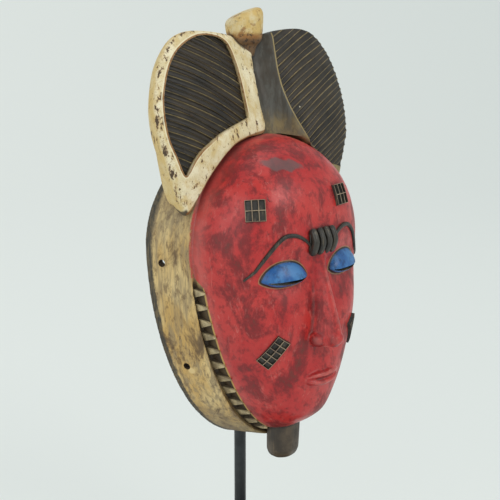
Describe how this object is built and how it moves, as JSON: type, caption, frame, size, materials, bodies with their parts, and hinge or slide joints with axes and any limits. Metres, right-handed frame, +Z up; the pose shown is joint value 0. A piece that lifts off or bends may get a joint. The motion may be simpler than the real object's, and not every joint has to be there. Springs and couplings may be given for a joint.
{
  "type": "baule mask",
  "caption": "Carved and painted wooden face mask with a two-lobed grooved coiffure, toothed edge and hollow back, held on a steel rod with a flat foot.",
  "frame": {"origin": "centre of the flat foot's underside", "axes": "+Z up, the face looks along -Y, +X across the mask"},
  "size_m": [0.2388, 0.1811, 0.5604],
  "materials": {
    "painted_carved_wood": "worn red, blue, cream and black paint with a soft sheen, bare ochre wood on the side band",
    "black_steel_rod": "satin black",
    "black_steel_foot": "satin black"
  },
  "bodies": {
    "root": {"mask": "painted_carved_wood", "stand_rod": "black_steel_rod", "stand_base": "black_steel_foot"}
  },
  "joints": []
}
